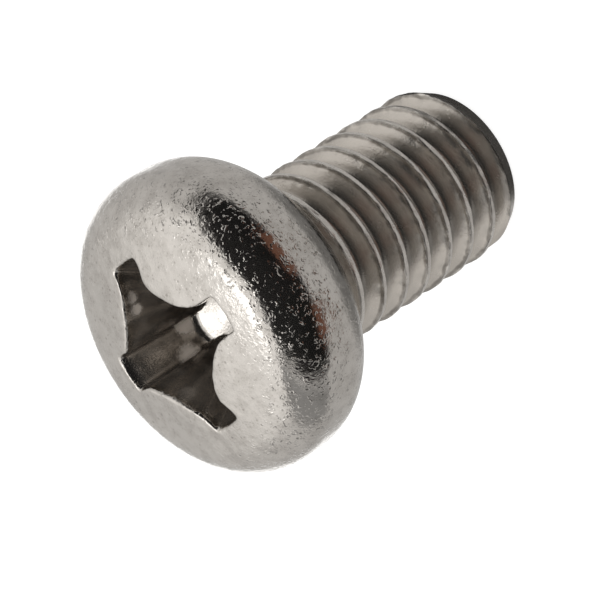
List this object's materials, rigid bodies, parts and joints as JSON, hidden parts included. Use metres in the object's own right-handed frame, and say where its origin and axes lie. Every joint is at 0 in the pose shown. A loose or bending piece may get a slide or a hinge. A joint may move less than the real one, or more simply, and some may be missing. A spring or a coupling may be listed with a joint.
{
  "type": "machine screw",
  "caption": "Short pan head machine screw with a cross recess and a metric coarse right-hand thread, for fixing covers and brackets.",
  "frame": {"origin": "middle of the bearing face under the head, on the screw's axis", "axes": "+Z along the screw's axis from the tip of the shank to the crown of the head; X and Y along the wings of the cross recess"},
  "size_m": [0.0068, 0.0068, 0.0089],
  "materials": {
    "steel": "satin stainless steel, tumbled, with fine pits"
  },
  "bodies": {
    "root": {"screw": "steel"}
  },
  "joints": []
}
